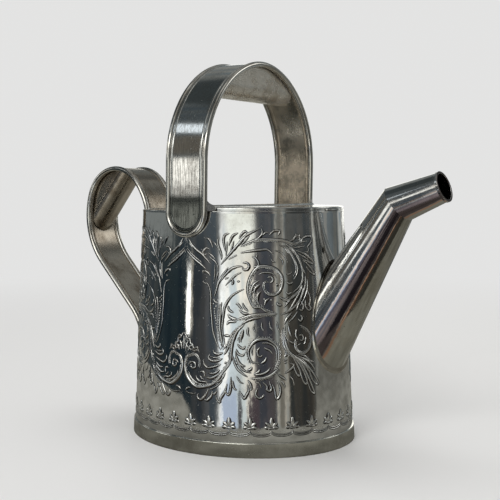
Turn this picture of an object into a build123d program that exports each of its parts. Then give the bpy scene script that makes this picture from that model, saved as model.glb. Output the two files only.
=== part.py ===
from build123d import *
import os
from math import atan2, cos, degrees, radians, sin, tan, atan

# Oval silver-plated hot-water pot in the form of a small watering can.
# Frame: X runs from the rear handle to the spout, Z is up, and the origin is
# the middle of the oval on the surface that the pot stands on. All sizes in mm.

os.makedirs("parts", exist_ok=True)

# Body wall: an oval cone, given by its half axes at the table and at the rim
body_height = 115.5
base_half_length = 59.7
base_half_width = 50.8
rim_half_length = 54.0
rim_half_width = 46.4
body_wall = 1.0

# Foot band, base plate and rim
foot_height = 7.0
foot_proud = 0.7
foot_round = 0.5
foot_lift = 0.4
base_plate_height = 2.6
base_plate_thickness = 1.0
seat_gap = 0.05
rim_ring_height = 1.2
rim_ring_proud = 0.15
rim_ring_round = 0.3

# Fixed rear half of the top
deck_thickness = 0.9
deck_drop = 0.2
deck_hinge_gap = 0.4
deck_lip_depth = 3.0
deck_lip_thickness = 0.8

# Hinge across the top, just in front of the overhead handle
hinge_wire_gap = 3.1
hinge_rise = 1.45
knuckle_radius = 1.4
pin_radius = 0.6
pin_clearance = 0.05
barrel_end_gap = 3.03
middle_knuckle_half = 8.6
outer_knuckle_start = 26.4
knuckle_gap = 0.2
leaf_thickness = 0.6
fixed_leaf_depth = 5.0
lid_leaf_depth = 6.0
fixed_leaf_margin = 3.0
lid_leaf_margin = 4.4
lug_thickness = 1.0
lug_height = 4.8
lug_shoulder = 2.8
lug_overrun = 1.0

# Hinged front half of the top
lid_clearance = 0.1
lid_sheet = 0.8
lid_depth = 1.75
lid_edge_round = 0.7
lid_rear_gap = 0.45
lid_inset = 0.1
skirt_thickness = 0.7
skirt_clearance = 0.6
skirt_depth = 3.8
skirt_rear_gap = 3.0
lip_width = 12.0
lip_reach = 2.2
lip_thickness = 0.7

# Strainer holes pierced in the wall behind the spout
strainer_hole_radius = 1.3
strainer_pitch_y = 5.2
strainer_pitch_z = 6.4
strainer_columns = 4
strainer_rows = 5
strainer_height = 60.0
strainer_cut = 14.0

# Strap handles: a thin sheet with a bead near each edge, between two round wires
wire_radius = 1.35
wire_spacing = 22.0
sheet_thickness = 1.0
bead_radius = 0.85
bead_inset = 0.95
strap_stand_off = 0.4
panel_edge_gap = 0.02

# Overhead handle, in a plane across the pot
overhead_x = 1.1
overhead_foot_drop = 12.8
overhead_lean = 0.9
overhead_height = 74.5
overhead_arch_extra = 2.42
overhead_crown_radius = 38.9
overhead_relief_radius = 120.0

# Rear handle loop, in the plane of the spout
rear_foot_drop = 3.5
rear_bend_radius = 10.0
rear_bend_turn = 15.0
rear_rise_radius = 35.0
rear_rise_turn = 30.0
rear_top_radius = 19.8
rear_top_turn = 117.0
rear_back_radius = 37.8
rear_run_angle = 42.5
rear_joint_radius = 32.0
rear_joint_tail = 1.0

# Hollow grips under the crown of each handle
grip_half_width = 9.0
grip_rise = 7.0
grip_wall = 0.8
grip_gap = 0.05
overhead_grip_depth = 19.4
rear_grip_offset = 26.6
rear_grip_tilt = 51.0

# Spout: a tapering tube up to a mitred elbow, then a short tip
elbow_x = 89.2
elbow_rise = 3.3
spout_angle = 57.7
tip_angle = 19.6
elbow_radius = 9.0
spout_root_distance = 112.0
spout_root_radius = 19.2
spout_root_half_width = 21.2
tip_length = 22.7
tip_end_radius = 7.0
spout_wall = 0.75
lip_ring_radius = 7.35
lip_ring_length = 1.3
lip_ring_round = 0.2
collar_width = 0.9
collar_thickness = 0.6

# Values that follow from the sizes above
long_slope = (base_half_length - rim_half_length) / body_height
wide_slope = (base_half_width - rim_half_width) / body_height
wire_front_x = overhead_x + wire_spacing / 2
hinge_x = wire_front_x + hinge_wire_gap
hinge_z = body_height + hinge_rise
deck_front_x = hinge_x - knuckle_radius - deck_hinge_gap
wall_top = body_height - rim_ring_height
deck_top = body_height - deck_drop
lid_bottom = body_height + lid_clearance
lid_top = lid_bottom + lid_depth
lid_rear_x = hinge_x + knuckle_radius + lid_rear_gap
leaf_under_lid = lid_top - lid_sheet - leaf_thickness
panel_half_width = wire_spacing / 2 - wire_radius - panel_edge_gap
bead_offset = panel_half_width - bead_inset
strap_centre_off = strap_stand_off + sheet_thickness / 2
overhead_top = body_height + overhead_height
rear_foot_z = body_height - rear_foot_drop
elbow_z = body_height + elbow_rise
far = 150.0


def half_axes(height, grow=0.0):
    """Half axes of the body's outer oval at a height, moved outward by grow."""
    half_length = base_half_length - long_slope * height + grow
    half_width = base_half_width - wide_slope * height + grow
    return half_length, half_width


def oval_block(low, high, grow=0.0):
    """Solid oval cone that follows the body's outside between two heights."""
    with BuildPart() as block:
        for height in (low, high):
            with BuildSketch(Plane.XY.offset(height)):
                Ellipse(*half_axes(height, grow))
        loft(ruled=True)
    return block.part


def finish_part(builder, name):
    """Label a finished piece and write its file."""
    builder.part.label = name
    export_step(builder.part, "parts/" + name + ".step")


body_block = oval_block(0, body_height)

# Legs of the overhead handle, in the plane across the pot (Y, Z)
wide_lean = degrees(atan(wide_slope))
foot_reach = wire_spacing / 2 + wire_radius
overhead_foot_z = body_height - overhead_foot_drop + foot_reach * cos(radians(wide_lean))
overhead_foot_y = half_axes(overhead_foot_z)[1] + strap_centre_off
overhead_leg_y = overhead_foot_y - overhead_relief_radius * (1 - cos(radians(wide_lean)))
overhead_leg_z = overhead_foot_z + overhead_relief_radius * sin(radians(wide_lean))

# The hinge barrel fits between the legs
barrel_half_length = overhead_leg_y - barrel_end_gap

# Body shell, with the strainer holes behind the spout
shell_outside = oval_block(foot_lift, wall_top)
shell_inside = oval_block(foot_lift, wall_top, -body_wall)
with BuildPart() as body_shell:
    add(shell_outside)
    add(shell_inside, mode=Mode.SUBTRACT)
    with BuildSketch(Plane.YZ.offset(rim_half_length - strainer_height * long_slope)):
        with Locations((0, strainer_height)):
            with GridLocations(strainer_pitch_y, strainer_pitch_z, strainer_columns, strainer_rows):
                Circle(strainer_hole_radius)
            with GridLocations(strainer_pitch_y, strainer_pitch_z, strainer_columns - 1, strainer_rows - 1):
                Circle(strainer_hole_radius)
    extrude(amount=strainer_cut, both=True, mode=Mode.SUBTRACT)
finish_part(body_shell, "body_shell")

# Foot band round the bottom, standing proud of the wall
with BuildPart() as foot_band:
    for height in (0, foot_height):
        with BuildSketch(Plane.XY.offset(height)):
            Ellipse(*half_axes(height, foot_proud))
    loft(ruled=True)
    fillet(foot_band.edges().sort_by(Axis.Z)[-1], foot_round)
    for height in (0, foot_height):
        with BuildSketch(Plane.XY.offset(height)):
            Ellipse(*half_axes(height))
    loft(ruled=True, mode=Mode.SUBTRACT)
finish_part(foot_band, "foot_band")

# Base plate, set up inside the wall
plate_low = base_plate_height
plate_high = base_plate_height + base_plate_thickness
with BuildPart() as base_plate:
    for height in (plate_low, plate_high):
        with BuildSketch(Plane.XY.offset(height)):
            Ellipse(*half_axes(height, -body_wall - seat_gap))
    loft(ruled=True)
finish_part(base_plate, "base_plate")

# Rim ring on the top edge of the wall
with BuildPart() as rim_ring:
    with BuildSketch(Plane.XY.offset(wall_top)):
        Ellipse(*half_axes(body_height, rim_ring_proud))
    extrude(amount=rim_ring_height)
    fillet(rim_ring.edges().sort_by(Axis.Z)[-1], rim_ring_round)
    with BuildSketch(Plane.XY.offset(wall_top)):
        Ellipse(*half_axes(body_height, -body_wall))
    extrude(amount=rim_ring_height, mode=Mode.SUBTRACT)
finish_part(rim_ring, "rim_ring")

# Rear deck, with its front edge turned down
deck_low = deck_top - deck_thickness
with BuildPart() as rear_deck:
    with BuildSketch(Plane.XY.offset(deck_low - deck_lip_depth)):
        Ellipse(*half_axes(body_height, -body_wall - seat_gap))
    extrude(amount=deck_lip_depth + deck_thickness)
    with BuildSketch(Plane.XY.offset(deck_low - deck_lip_depth)):
        with Locations((deck_front_x + far, 0)):
            Rectangle(2 * far, 2 * far)
    extrude(amount=deck_lip_depth + deck_thickness, mode=Mode.SUBTRACT)
    with BuildSketch(Plane.XY.offset(deck_low - deck_lip_depth)):
        with Locations((deck_front_x - deck_lip_thickness - far, 0)):
            Rectangle(2 * far, 2 * far)
    extrude(amount=deck_lip_depth, mode=Mode.SUBTRACT)
finish_part(rear_deck, "rear_deck")

# Knuckle spans along the hinge, as (start, end) in Y
fixed_spans = [
    (-barrel_half_length, -outer_knuckle_start),
    (-middle_knuckle_half, middle_knuckle_half),
    (outer_knuckle_start, barrel_half_length),
]
lid_spans = [
    (-outer_knuckle_start + knuckle_gap, -middle_knuckle_half - knuckle_gap),
    (middle_knuckle_half + knuckle_gap, outer_knuckle_start - knuckle_gap),
]


def hinge_disc(start, radius):
    """Disc across the hinge line, at a Y value, facing +Y."""
    with BuildSketch(Plane((hinge_x, start, hinge_z), x_dir=(1, 0, 0), z_dir=(0, 1, 0))) as disc:
        Circle(radius)
    return disc.sketch


def leaf_outline(x_span, y_span, low):
    """Rectangle at a height, given by its X and Y spans."""
    x_low, x_high = x_span
    y_low, y_high = y_span
    with BuildSketch(Plane.XY.offset(low)) as outline:
        with Locations(((x_low + x_high) / 2, (y_low + y_high) / 2)):
            Rectangle(x_high - x_low, y_high - y_low)
    return outline.sketch


# Fixed hinge leaf on the deck, with three knuckles
bore_radius = pin_radius + pin_clearance
fixed_leaf_end = barrel_half_length - fixed_leaf_margin
fixed_leaf_span = (-fixed_leaf_end, fixed_leaf_end)
with BuildPart() as hinge_leaf_fixed:
    leaf_back = deck_front_x - fixed_leaf_depth
    extrude(leaf_outline((leaf_back, deck_front_x), fixed_leaf_span, deck_top), amount=leaf_thickness)
    for start, end in fixed_spans:
        tongue = (max(start, -fixed_leaf_end), min(end, fixed_leaf_end))
        extrude(leaf_outline((deck_front_x, hinge_x), tongue, deck_top), amount=leaf_thickness)
        extrude(hinge_disc(start, knuckle_radius), amount=end - start)
    extrude(hinge_disc(0, bore_radius), amount=far, both=True, mode=Mode.SUBTRACT)
finish_part(hinge_leaf_fixed, "hinge_leaf_fixed")

# Lid's hinge leaf under the lid, with two knuckles
lid_leaf_end = barrel_half_length - lid_leaf_margin
lid_leaf_span = (-lid_leaf_end, lid_leaf_end)
with BuildPart() as hinge_leaf_lid:
    leaf_front = lid_rear_x + lid_leaf_depth
    extrude(leaf_outline((lid_rear_x, leaf_front), lid_leaf_span, leaf_under_lid), amount=leaf_thickness)
    for start, end in lid_spans:
        extrude(leaf_outline((hinge_x, lid_rear_x), (start, end), leaf_under_lid), amount=leaf_thickness)
        extrude(hinge_disc(start, knuckle_radius), amount=end - start)
    extrude(hinge_disc(0, bore_radius), amount=far, both=True, mode=Mode.SUBTRACT)
finish_part(hinge_leaf_lid, "hinge_leaf_lid")

# Hinge pin
with BuildPart() as hinge_pin:
    extrude(hinge_disc(-barrel_half_length, pin_radius), amount=2 * barrel_half_length)
finish_part(hinge_pin, "hinge_pin")

# Lid: a shallow pressed pan that covers the front half of the mouth
with BuildPart() as lid_pan:
    with BuildSketch(Plane.XY.offset(lid_bottom)):
        Ellipse(*half_axes(body_height, -lid_inset))
    extrude(amount=lid_depth)
    fillet(lid_pan.edges().sort_by(Axis.Z)[-1], lid_edge_round)
    with BuildSketch(Plane.XY.offset(lid_bottom)):
        Ellipse(*half_axes(body_height, -lid_inset - lid_sheet))
    extrude(amount=lid_depth - lid_sheet, mode=Mode.SUBTRACT)
    with BuildSketch(Plane.XY.offset(lid_bottom)):
        with Locations((lid_rear_x - far, 0)):
            Rectangle(2 * far, 2 * far)
    extrude(amount=lid_depth, mode=Mode.SUBTRACT)
finish_part(lid_pan, "lid_pan")

# Skirt under the lid, which drops inside the wall
skirt_out = -body_wall - skirt_clearance
skirt_low = body_height - skirt_depth
with BuildPart() as lid_skirt:
    with BuildSketch(Plane.XY.offset(skirt_low)):
        Ellipse(*half_axes(body_height, skirt_out))
        Ellipse(*half_axes(body_height, skirt_out - skirt_thickness), mode=Mode.SUBTRACT)
        with Locations((lid_rear_x + lid_leaf_depth + skirt_rear_gap - far, 0)):
            Rectangle(2 * far, 2 * far, mode=Mode.SUBTRACT)
    extrude(amount=lid_top - lid_sheet - skirt_low)
finish_part(lid_skirt, "lid_skirt")

# Small lip at the front of the lid, to lift it by
with BuildPart() as lid_lip:
    with BuildSketch(Plane.XY.offset(lid_bottom)):
        with Locations((rim_half_length - lid_inset, 0)):
            Ellipse(lip_reach, lip_width / 2)
    extrude(amount=lip_thickness)
    with BuildSketch(Plane.XY.offset(lid_bottom)):
        Ellipse(*half_axes(body_height, -lid_inset))
    extrude(amount=lip_thickness, mode=Mode.SUBTRACT)
finish_part(lid_lip, "lid_lip")


def walk(start, heading, moves):
    """Chain of tangent lines and arcs in a flat plane.

    A move is (None, length) for a line, or (radius, degrees) for an arc, where
    positive degrees turn left.
    """
    with BuildLine() as chain:
        point = Vector(*start)
        way = Vector(*heading)
        for radius, amount in moves:
            if radius is None:
                piece = Line(point, point + way * amount)
            else:
                piece = JernArc(start=point, tangent=way, radius=radius, arc_size=amount)
            point = piece @ 1
            way = piece % 1
    return chain.wire()


# Arch of the overhead handle: two side arcs that meet a tighter crown arc
overhead_rise = overhead_leg_y + overhead_arch_extra
overhead_springing = overhead_top - wire_radius - overhead_rise
arch_excess = overhead_leg_y**2 + overhead_rise**2 - 2 * overhead_rise * overhead_crown_radius
overhead_side_radius = arch_excess / (2 * (overhead_leg_y - overhead_crown_radius))


def overhead_arch(inset):
    """Springing point and arc moves of the arch, moved inward by inset."""
    crown_up = overhead_rise - overhead_crown_radius
    side_angle = degrees(atan2(crown_up, overhead_side_radius - overhead_leg_y))
    side = (overhead_side_radius - inset, -side_angle)
    crown = (overhead_crown_radius - inset, -2 * (90 - side_angle))
    return (-overhead_leg_y + inset, overhead_springing), [side, crown, side]


# The handle's plane leans a little towards the spout, about a line at rim height
lean_up = Vector(sin(radians(overhead_lean)), 0, cos(radians(overhead_lean)))
lean_foot = Vector(overhead_x, 0, body_height) - lean_up * body_height
overhead_plane = Plane(lean_foot, x_dir=(0, 1, 0), z_dir=Vector(0, 1, 0).cross(lean_up))
overhead_lift = (sin(radians(wide_lean)), cos(radians(wide_lean)))
overhead_relief = (overhead_relief_radius, wide_lean)
overhead_leg = (None, overhead_springing - overhead_leg_z)
overhead_moves = [overhead_relief, overhead_leg] + overhead_arch(0)[1] + [overhead_leg, overhead_relief]
overhead_flat = walk((-overhead_foot_y, overhead_foot_z), overhead_lift, overhead_moves)
overhead_path = overhead_plane.location * overhead_flat

# Path of the rear handle's middle line, in the plane of the spout (X, Z)
long_lean = degrees(atan(long_slope))
rear_foot_x = -half_axes(rear_foot_z)[0] - strap_centre_off
rear_lift = (sin(radians(long_lean)), cos(radians(long_lean)))
rear_plane = Plane((0, 0, 0), x_dir=(1, 0, 0), z_dir=(0, -1, 0))


def rear_loop(inset):
    """Start point and arc moves of the round part of the loop, moved inward."""
    start = (rear_foot_x - inset * rear_lift[1], rear_foot_z + inset * rear_lift[0])
    back_turn = 180 + long_lean + rear_run_angle - rear_bend_turn - rear_rise_turn - rear_top_turn
    bend = (rear_bend_radius - inset, rear_bend_turn)
    rise = (rear_rise_radius - inset, rear_rise_turn)
    top = (rear_top_radius - inset, rear_top_turn)
    back = (rear_back_radius - inset, back_turn)
    return start, [bend, rise, top, back]


# The straight run is as long as it must be for the strap to land on the wall
rear_start, rear_arcs = rear_loop(0)
rear_joint = (rear_joint_radius, -rear_run_angle - long_lean)
rear_tail = (None, rear_joint_tail)
rear_trial = walk(rear_start, rear_lift, rear_arcs + [rear_joint])
run_way = Vector(sin(radians(rear_run_angle)), -cos(radians(rear_run_angle)))
wall_normal = Vector(-rear_lift[1], rear_lift[0])
miss = (rear_trial @ 1 - Vector(*rear_start)).dot(wall_normal)
rear_run = (None, -miss / run_way.dot(wall_normal))
rear_flat = walk(rear_start, rear_lift, rear_arcs + [rear_run, rear_joint, rear_tail])
rear_path = rear_plane.location * rear_flat


def end_planes(path, across):
    """Planes at both ends of a strap: x across it, y on past its end."""
    planes = []
    for point, onward in ((path @ 0, -(path % 0)), (path @ 1, path % 1)):
        planes.append(Plane(point, x_dir=across, z_dir=across.cross(onward)))
    return planes


def strap_sheet(path, across):
    """Sheet of a strap handle with its two beads and rounded ends."""
    section = Plane(path @ 0, x_dir=across, z_dir=path % 0)
    with BuildPart() as sheet:
        with BuildSketch(section):
            Rectangle(2 * panel_half_width, sheet_thickness)
        sweep(path=path)
        with BuildSketch(section):
            with Locations((-bead_offset, 0), (bead_offset, 0)):
                Circle(bead_radius)
        sweep(path=path)
        for end in end_planes(path, across):
            with BuildSketch(end):
                Circle(panel_half_width)
                with Locations((0, -panel_half_width)):
                    Rectangle(2 * panel_half_width, 2 * panel_half_width, mode=Mode.SUBTRACT)
            extrude(amount=sheet_thickness / 2, both=True)
            with BuildSketch(Plane(end.origin, x_dir=end.x_dir, z_dir=-end.y_dir)):
                with Locations((bead_offset, 0)):
                    Circle(bead_radius)
            revolve(axis=Axis(end.origin, end.z_dir), revolution_arc=180)
    return sheet


def strap_wire(path, across, side):
    """One edge wire, from the middle of one rounded end to the other's.

    Its back is flattened where it crosses the bulge of the wall.
    """
    section = Plane(path @ 0, x_dir=across, z_dir=path % 0)
    with BuildPart() as wire:
        with BuildSketch(section):
            with Locations((side * wire_spacing / 2, 0)):
                Circle(wire_radius)
        sweep(path=path)
        for end in end_planes(path, across):
            with BuildSketch(Plane(end.origin, x_dir=end.x_dir, z_dir=-end.y_dir)):
                with Locations((side * wire_spacing / 2, 0)):
                    Circle(wire_radius)
            revolve(axis=Axis(end.origin, end.z_dir * side), revolution_arc=90)
        add(body_block, mode=Mode.SUBTRACT)
    return wire


across_overhead = overhead_plane.z_dir
across_rear = Vector(0, 1, 0)

# Overhead handle: sheet and edge wires
overhead_strap = strap_sheet(overhead_path, across_overhead)
finish_part(overhead_strap, "overhead_strap")
for side, name in ((1, "overhead_wire_front"), (-1, "overhead_wire_rear")):
    finish_part(strap_wire(overhead_path, across_overhead, side), name)

# Rear handle: sheet and edge wires
rear_strap = strap_sheet(rear_path, across_rear)
finish_part(rear_strap, "rear_strap")
for side, name in ((-1, "rear_wire_near"), (1, "rear_wire_far")):
    finish_part(strap_wire(rear_path, across_rear, side), name)


def grip_block(region, chord, inset):
    """Solid between a strap's inner side and a chord, rounded along the chord.

    region is the closed outline inside the strap, and chord is a plane on the
    chord with x along it, y towards the strap and z across the strap.
    """
    half_width = grip_half_width - inset
    profile = Plane(chord.origin, x_dir=chord.z_dir, z_dir=-chord.x_dir)
    with BuildPart() as block:
        add(extrude(region, amount=half_width, dir=chord.z_dir, both=True, mode=Mode.PRIVATE))
        with BuildSketch(profile):
            with Locations((0, grip_rise)):
                Ellipse(half_width, grip_rise - inset)
            with Locations((0, grip_rise + far / 2)):
                Rectangle(2 * half_width, far)
        extrude(amount=far, both=True, mode=Mode.INTERSECT)
    return block.part


def strap_region(plane, heading, start, moves):
    """Closed face inside a walk, in a given plane."""
    outline = walk(start, heading, moves)
    closed = Wire(outline.edges() + [Line(outline @ 1, outline @ 0).edge()])
    return plane.location * Face(closed)


# Overhead grip: a hollow trough under the crown
grip_inset = bead_radius + grip_gap
overhead_inside = strap_region(overhead_plane, (0, 1), *overhead_arch(grip_inset))
overhead_core = strap_region(overhead_plane, (0, 1), *overhead_arch(0))
chord_height = overhead_plane.y_dir * (overhead_top - overhead_grip_depth)
overhead_chord = Plane(overhead_plane.origin + chord_height, x_dir=(0, 1, 0), z_dir=overhead_plane.z_dir)
overhead_outer_block = grip_block(overhead_inside, overhead_chord, 0)
overhead_inner_block = grip_block(overhead_core, overhead_chord, grip_wall)
with BuildPart() as overhead_grip:
    add(overhead_outer_block)
    add(overhead_inner_block, mode=Mode.SUBTRACT)
finish_part(overhead_grip, "overhead_grip")

# Rear grip: the same trough, set on a slanting chord of the loop
chord_way = Vector(cos(radians(rear_grip_tilt)), 0, sin(radians(rear_grip_tilt)))
chord_up = Vector(-sin(radians(rear_grip_tilt)), 0, cos(radians(rear_grip_tilt)))
rear_foot = Vector(rear_foot_x, 0, rear_foot_z)
chord_foot = chord_up * (rear_foot.dot(chord_up) + rear_grip_offset)
rear_chord = Plane(chord_foot, x_dir=chord_way, z_dir=chord_way.cross(chord_up))
rear_inside = strap_region(rear_plane, rear_lift, *rear_loop(grip_inset))
rear_core = strap_region(rear_plane, rear_lift, *rear_loop(0))
rear_outer_block = grip_block(rear_inside, rear_chord, 0)
rear_inner_block = grip_block(rear_core, rear_chord, grip_wall)
with BuildPart() as rear_grip:
    add(rear_outer_block)
    add(rear_inner_block, mode=Mode.SUBTRACT)
finish_part(rear_grip, "rear_grip")

# Hinge lugs: small webs that close the barrel's ends and tie them to the front wire
front_wire = strap_wire(overhead_path, across_overhead, 1).part
for side, name in ((-1, "hinge_lug_near"), (1, "hinge_lug_far")):
    wire_foot = Vector(wire_front_x, side * overhead_leg_y, body_height)
    barrel_foot = Vector(hinge_x, side * barrel_half_length, body_height)
    web_way = barrel_foot - wire_foot
    reach = web_way.length
    web_plane = Plane(wire_foot, x_dir=web_way, z_dir=web_way.cross(Vector(0, 0, 1)))
    with BuildPart() as hinge_lug:
        with BuildSketch(web_plane):
            with BuildLine():
                Line((0, 0), (0, lug_height))
                Line((0, lug_height), (wire_radius, lug_height))
                RadiusArc((wire_radius, lug_height), (reach, lug_shoulder), -lug_height)
                Line((reach, lug_shoulder), (reach + lug_overrun, lug_shoulder))
                Line((reach + lug_overrun, lug_shoulder), (reach + lug_overrun, 0))
                Line((reach + lug_overrun, 0), (0, 0))
            make_face()
        extrude(amount=lug_thickness / 2, both=True)
        with BuildSketch(Plane.XZ):
            Rectangle(far, 2 * far)
        extrude(amount=barrel_half_length, both=True, mode=Mode.SUBTRACT)
        add(front_wire, mode=Mode.SUBTRACT)
    finish_part(hinge_lug, name)

# Spout axes: up the main tube to the elbow, then out along the tip
elbow = Vector(elbow_x, 0, elbow_z)
spout_way = Vector(cos(radians(spout_angle)), 0, sin(radians(spout_angle)))
tip_way = Vector(cos(radians(tip_angle)), 0, sin(radians(tip_angle)))
half_bend = (spout_angle - tip_angle) / 2
mitre_way = (spout_way + tip_way).normalized()
root_plane = Plane(elbow - spout_way * spout_root_distance, x_dir=(0, 1, 0), z_dir=spout_way)
mitre_plane = Plane(elbow, x_dir=(0, 1, 0), z_dir=mitre_way)
mouth_plane = Plane(elbow + tip_way * tip_length, x_dir=(0, 1, 0), z_dir=tip_way)


def main_tube(grow):
    """Solid of the main tube from deep inside the body to the mitre."""
    with BuildPart() as tube:
        with BuildSketch(root_plane):
            Ellipse(spout_root_half_width + grow, spout_root_radius + grow)
        with BuildSketch(mitre_plane):
            Ellipse(elbow_radius + grow, (elbow_radius + grow) / cos(radians(half_bend)))
        loft(ruled=True)
    return tube.part


def tip_tube(grow):
    """Solid of the tip from the mitre to the mouth."""
    with BuildPart() as tube:
        with BuildSketch(mitre_plane):
            Ellipse(elbow_radius + grow, (elbow_radius + grow) / cos(radians(half_bend)))
        with BuildSketch(mouth_plane):
            Circle(tip_end_radius + grow)
        loft(ruled=True)
    return tube.part


collar_block = oval_block(0, body_height, collar_thickness)
tube_outside = main_tube(0)
tube_inside = main_tube(-spout_wall)
tube_collar = main_tube(collar_width)
tip_outside = tip_tube(0)
tip_inside = tip_tube(-spout_wall)

with BuildPart() as spout_tube:
    add(tube_outside)
    add(tube_inside, mode=Mode.SUBTRACT)
    add(body_block, mode=Mode.SUBTRACT)
finish_part(spout_tube, "spout_tube")

with BuildPart() as spout_tip:
    add(tip_outside)
    add(tip_inside, mode=Mode.SUBTRACT)
finish_part(spout_tip, "spout_tip")

# Lip ring on the mouth
with BuildPart() as spout_lip:
    with BuildSketch(mouth_plane):
        Circle(lip_ring_radius)
        Circle(tip_end_radius - spout_wall, mode=Mode.SUBTRACT)
    extrude(amount=lip_ring_length)
    fillet(spout_lip.edges().filter_by(GeomType.CIRCLE), lip_ring_round)
finish_part(spout_lip, "spout_lip")

# Thin collar round the spout's joint with the wall
with BuildPart() as spout_collar:
    add(tube_collar)
    add(collar_block, mode=Mode.INTERSECT)
    add(body_block, mode=Mode.SUBTRACT)
    add(tube_outside, mode=Mode.SUBTRACT)
finish_part(spout_collar, "spout_collar")
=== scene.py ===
import math

import bpy
import numpy as np
from mathutils import Matrix, Vector


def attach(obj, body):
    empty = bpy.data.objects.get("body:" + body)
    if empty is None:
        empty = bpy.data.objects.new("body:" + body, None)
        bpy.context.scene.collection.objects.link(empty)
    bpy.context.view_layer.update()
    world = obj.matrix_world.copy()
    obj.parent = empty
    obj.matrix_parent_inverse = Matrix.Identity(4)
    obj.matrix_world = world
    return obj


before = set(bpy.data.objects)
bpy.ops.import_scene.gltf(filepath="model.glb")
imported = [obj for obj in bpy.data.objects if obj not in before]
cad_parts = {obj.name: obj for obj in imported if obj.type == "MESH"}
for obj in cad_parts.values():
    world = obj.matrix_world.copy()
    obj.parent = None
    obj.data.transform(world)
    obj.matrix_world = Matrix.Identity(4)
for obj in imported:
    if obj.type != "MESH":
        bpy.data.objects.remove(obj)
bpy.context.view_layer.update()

MM = 0.001
scene = bpy.context.scene

# Camera at the photograph's viewpoint, in mm, and its azimuth, pitch and roll in degrees
CAMERA_AT, CAMERA_TURNS = (286.2, -399.4, 125.2), (35.1515, -3.6, -0.056)
CAMERA_LENS, SENSOR_WIDTH = 68.35, 36
CLIP_START, CLIP_END = 0.01, 50


def placed(name, data):
    """Object that holds the data, linked to the scene."""
    made = bpy.data.objects.new(name, data)
    scene.collection.objects.link(made)
    return made


def make_camera():
    """Camera that is level but for a small pitch and roll."""
    azimuth, pitch, roll = (math.radians(turn) for turn in CAMERA_TURNS)
    level = math.cos(pitch)
    ahead = Vector((-math.sin(azimuth) * level, math.cos(azimuth) * level, math.sin(pitch)))
    right = Vector((math.cos(azimuth), math.sin(azimuth), 0))
    up = right.cross(ahead)
    turned_right = right * math.cos(roll) + up * math.sin(roll)
    turned_up = up * math.cos(roll) - right * math.sin(roll)
    data = bpy.data.cameras.new("camera")
    data.sensor_width = SENSOR_WIDTH
    data.lens = CAMERA_LENS
    data.clip_start, data.clip_end = CLIP_START, CLIP_END
    camera = placed("camera", data)
    turn = Matrix((turned_right, turned_up, -ahead)).transposed().to_4x4()
    camera.matrix_world = Matrix.Translation(Vector(CAMERA_AT) * MM) @ turn
    scene.camera = camera


make_camera()


def new_material(name):
    """Empty node material and its tree."""
    material = bpy.data.materials.new(name)
    material.use_nodes = True
    material.node_tree.nodes.clear()
    return material, material.node_tree


def node(tree, kind, inputs=None, **settings):
    """Node of a kind, with its settings and input values or links."""
    made = tree.nodes.new("ShaderNode" + kind)
    for key, value in settings.items():
        setattr(made, key, value)
    for key, value in (inputs or {}).items():
        if isinstance(value, bpy.types.NodeSocket):
            tree.links.new(value, made.inputs[key])
        else:
            made.inputs[key].default_value = value
    return made


def ramp(tree, factor, stops, interpolation="EASE"):
    """Colour ramp. A stop is (place, colour), and a colour may be one grey value."""
    made = node(tree, "ValToRGB", {"Fac": factor})
    made.color_ramp.interpolation = interpolation
    elements = made.color_ramp.elements
    while len(elements) < len(stops):
        elements.new(0.5)
    for element, (place, colour) in zip(elements, stops):
        element.position = place
        grey = not hasattr(colour, "__len__")
        element.color = (colour, colour, colour, 1) if grey else (*colour, 1)
    return made.outputs["Color"]


def mix(tree, factor, first, second, blend="MIX"):
    """Mix of two colours."""
    inputs = {"Factor": factor}
    for key, colour in ((6, first), (7, second)):
        inputs[key] = colour if isinstance(colour, bpy.types.NodeSocket) else (*colour, 1)
    return node(tree, "Mix", inputs, data_type="RGBA", blend_type=blend).outputs[2]


def calc(tree, operation, *values):
    """Math on sockets or numbers."""
    return node(tree, "Math", dict(enumerate(values)), operation=operation).outputs[0]


def vector(tree, operation, *values):
    """Vector math: a number for a length or a dot product, and else a vector."""
    made = node(tree, "VectorMath", dict(enumerate(values)), operation=operation)
    return made.outputs["Value" if operation in ("LENGTH", "DOT_PRODUCT") else "Vector"]


def surface(tree, kind="Object"):
    """Place or "Normal" in the object's own space, in metres, or its "UV"."""
    return node(tree, "TexCoord").outputs[kind]


def noise(tree, place, scale, detail, roughness=0.5):
    """Smooth noise about one half."""
    inputs = {"Vector": place, "Scale": scale, "Detail": detail, "Roughness": roughness}
    return node(tree, "TexNoise", inputs).outputs[0]


def between(tree, value, low, high, to_low=0.0, to_high=1.0, smooth=True):
    """Value taken from one range to another and held at its ends."""
    inputs = {"Value": value, "From Min": low, "From Max": high, "To Min": to_low, "To Max": to_high}
    kind = "SMOOTHSTEP" if smooth else "LINEAR"
    return node(tree, "MapRange", inputs, interpolation_type=kind).outputs[0]


def output(tree, shader, kind="OutputMaterial"):
    """Output node of a material or world."""
    tree.links.new(shader.outputs[0], node(tree, kind).inputs[0])


# Floor, surroundings and light, in metres, with azimuths and heights in degrees.
# A grain is a noise's scale, detail and sometimes roughness.
PALE = (0.77, 0.77, 0.765, 1)
FLOOR_COLOUR, FLOOR_ROUGH = (0.8, 0.795, 0.785, 1), 0.65
FLOOR_RADIUS, FLOOR_FADE = 8, (0.2, 0.95)
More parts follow.
